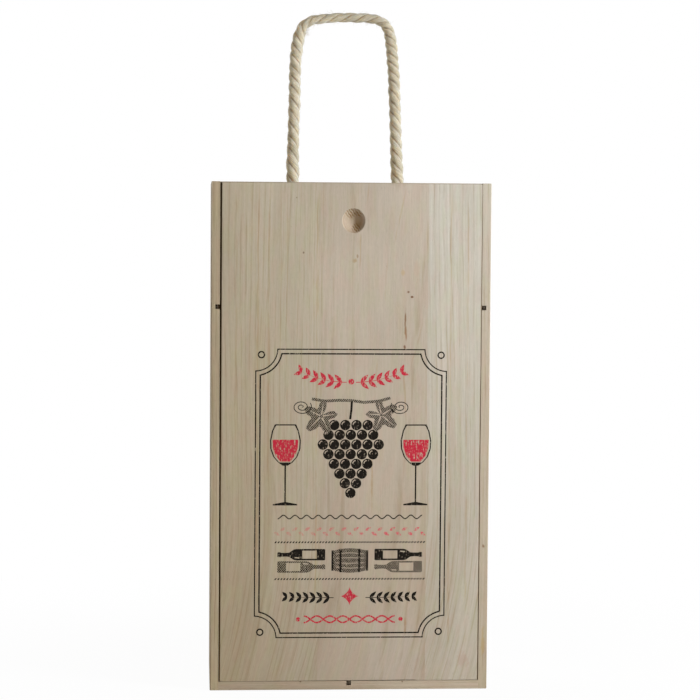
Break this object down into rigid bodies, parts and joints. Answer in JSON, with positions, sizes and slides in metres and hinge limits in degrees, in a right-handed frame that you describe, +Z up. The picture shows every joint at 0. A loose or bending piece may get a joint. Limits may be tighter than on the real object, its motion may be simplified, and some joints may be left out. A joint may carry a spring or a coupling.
{
  "type": "wooden wine box",
  "caption": "Upright wooden box for two wine bottles, with a grooved sliding lid, a thumb scoop, slotted inner plates and a rope handle.",
  "frame": {"origin": "middle of the underside of the box, rope left out", "axes": "+Z up, +X to the right seen from the lid's side, -Y out of the lid"},
  "size_m": [0.192, 0.098, 0.4705],
  "materials": {
    "side_wood": "sanded, unfinished",
    "end_wood": "sanded, unfinished",
    "lid_wood": "sanded, unfinished, printed",
    "back_wood": "sanded, unfinished",
    "plate_wood": "sawn, unfinished",
    "rope": "laid rope, matte",
    "brad_steel": "dull"
  },
  "bodies": {
    "case": {"left_side_panel": "side_wood", "right_side_panel": "side_wood", "bottom_end_panel": "end_wood", "top_end_panel": "end_wood", "back_panel": "back_wood", "bottle_divider": "plate_wood", "neck_rest": "plate_wood", "left_side_brads": "brad_steel", "right_side_brads": "brad_steel", "back_brads": "brad_steel", "left_rope_knot": "rope", "right_rope_knot": "rope"},
    "lid": {"sliding_lid": "lid_wood"},
    "handle": {"rope_handle": "rope"}
  },
  "joints": [
    {"name": "lid_slide", "type": "slide", "parent": "case", "child": "lid", "axis": [0, 0, 1], "range_m": [0, 0.35]},
    {"name": "handle_swing", "type": "hinge", "parent": "case", "child": "handle", "pos_m": [0, 0, 0.3545], "axis": [1, 0, 0], "range_deg": [-80, 15], "stiffness_Nm_per_rad": 0.05}
  ]
}
